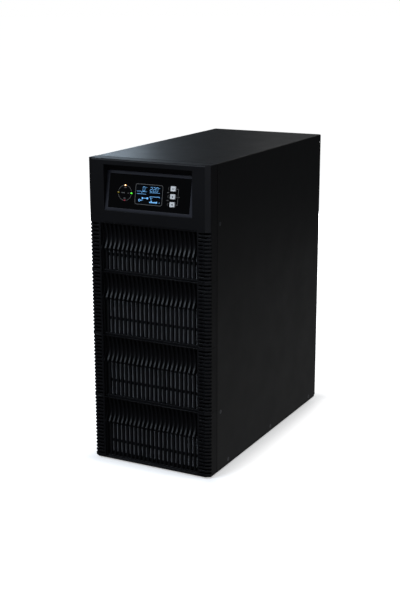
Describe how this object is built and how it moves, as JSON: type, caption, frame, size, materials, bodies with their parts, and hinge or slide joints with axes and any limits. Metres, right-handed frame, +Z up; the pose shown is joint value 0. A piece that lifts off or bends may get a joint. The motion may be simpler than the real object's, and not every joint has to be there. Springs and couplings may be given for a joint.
{
  "type": "uninterruptible power supply",
  "caption": "Black tower uninterruptible power supply: steel cabinet, slatted plastic front with a tilted display and keys, rear fans, breaker and terminals.",
  "frame": {"origin": "centre of the footprint, on the surface that the rubber feet stand on", "axes": "+Z up, +Y from the display front to the rear panel, +X to the right as the front is seen"},
  "size_m": [0.248, 0.512, 0.579],
  "materials": {
    "black_plastic": "fine-textured black moulded plastic",
    "cover_paint": "black fine-texture powder coat on sheet steel",
    "zinc_steel": "zinc-plated chassis steel",
    "panel_paint": "black powder coat",
    "foot_rubber": "black rubber",
    "black_screw": "black-zinc machine screws",
    "plated_steel": "bright nickel plate",
    "filter_plastic": "black moulded plastic",
    "filter_mesh": "grey woven filter mesh",
    "grey_plastic": "dark grey moulded plastic",
    "dark_lens": "polished black acrylic",
    "screen_glass": "backlit blue screen",
    "circuit_board": "green solder mask",
    "switch_plastic": "black component plastic",
    "amber_lamp": "lit amber lamp",
    "yellow_lamp": "unlit yellow lamp",
    "green_lamp": "lit green lamp",
    "red_lamp": "unlit red lamp",
    "button_rubber": "light grey silicone rubber",
    "battery_case": "grey battery case plastic",
    "copper": "copper",
    "brass_stud": "plain brass",
    "aluminium": "extruded aluminium",
    "capacitor_sleeve": "dark blue shrink sleeve",
    "fan_plastic": "black glass-filled plastic",
    "breaker_plastic": "light grey plastic",
    "lever_plastic": "black plastic",
    "socket_plastic": "dark red plastic"
  },
  "bodies": {
    "cabinet": {"base_tray": "zinc_steel", "rubber_feet": "foot_rubber", "cabinet_cover": "cover_paint", "cover_screws": "black_screw", "front_frame": "zinc_steel", "rear_panel": "panel_paint", "display_bezel": "black_plastic", "upper_grille": "black_plastic", "middle_grille": "black_plastic", "lower_grille": "black_plastic", "filter_frame": "filter_plastic", "dust_filter": "filter_mesh", "display_frame": "grey_plastic", "display_panel": "dark_lens", "screen_module": "screen_glass", "display_board": "circuit_board", "key_switches": "switch_plastic", "lamp_amber": "amber_lamp", "lamp_yellow": "yellow_lamp", "lamp_green": "green_lamp", "lamp_red": "red_lamp", "lower_shelf": "zinc_steel", "upper_shelf": "zinc_steel", "power_deck": "zinc_steel", "battery_bars": "zinc_steel", "battery_row_1": "battery_case", "battery_row_2": "battery_case", "battery_row_3": "battery_case", "battery_row_4": "battery_case", "battery_row_5": "battery_case", "battery_row_6": "battery_case", "battery_links": "copper", "power_board": "circuit_board", "board_standoffs": "brass_stud", "left_heatsink": "aluminium", "right_heatsink": "aluminium", "power_transistors": "switch_plastic", "bus_capacitors": "capacitor_sleeve", "filter_chokes": "copper", "transfer_relays": "switch_plastic", "control_board": "circuit_board", "left_fan_frame": "fan_plastic", "right_fan_frame": "fan_plastic", "fan_guards": "plated_steel", "fan_screws": "plated_steel", "breaker_body": "breaker_plastic", "terminal_strip": "lever_plastic", "terminal_cover": "panel_paint", "panel_screws": "plated_steel", "slot_cover": "panel_paint", "signal_ports": "plated_steel", "battery_socket": "socket_plastic", "cable_glands": "lever_plastic", "earth_stud": "brass_stud"},
    "button_up_key": {"button_up": "button_rubber"},
    "button_down_key": {"button_down": "button_rubber"},
    "button_enter_key": {"button_enter": "button_rubber"},
    "left_rotor": {"left_fan_rotor": "fan_plastic"},
    "right_rotor": {"right_fan_rotor": "fan_plastic"},
    "lever": {"breaker_lever": "lever_plastic"}
  },
  "joints": [
    {"name": "button_up_press", "type": "slide", "parent": "cabinet", "child": "button_up_key", "axis": [0, 0.9839, -0.1788], "range_m": [0, 0.001], "stiffness_N_per_m": 500, "springref_m": -0.0006},
    {"name": "button_down_press", "type": "slide", "parent": "cabinet", "child": "button_down_key", "axis": [0, 0.9839, -0.1788], "range_m": [0, 0.001], "stiffness_N_per_m": 500, "springref_m": -0.0006},
    {"name": "button_enter_press", "type": "slide", "parent": "cabinet", "child": "button_enter_key", "axis": [0, 0.9839, -0.1788], "range_m": [0, 0.001], "stiffness_N_per_m": 500, "springref_m": -0.0006},
    {"name": "left_fan_spin", "type": "hinge", "parent": "cabinet", "child": "left_rotor", "pos_m": [-0.052, 0.228, 0.503], "axis": [0, 1, 0], "continuous": true},
    {"name": "right_fan_spin", "type": "hinge", "parent": "cabinet", "child": "right_rotor", "pos_m": [0.052, 0.228, 0.503], "axis": [0, 1, 0], "continuous": true},
    {"name": "breaker_toggle", "type": "hinge", "parent": "cabinet", "child": "lever", "pos_m": [-0.064, 0.2405, 0.2965], "axis": [1, 0, 0], "range_deg": [-80, 0]}
  ]
}
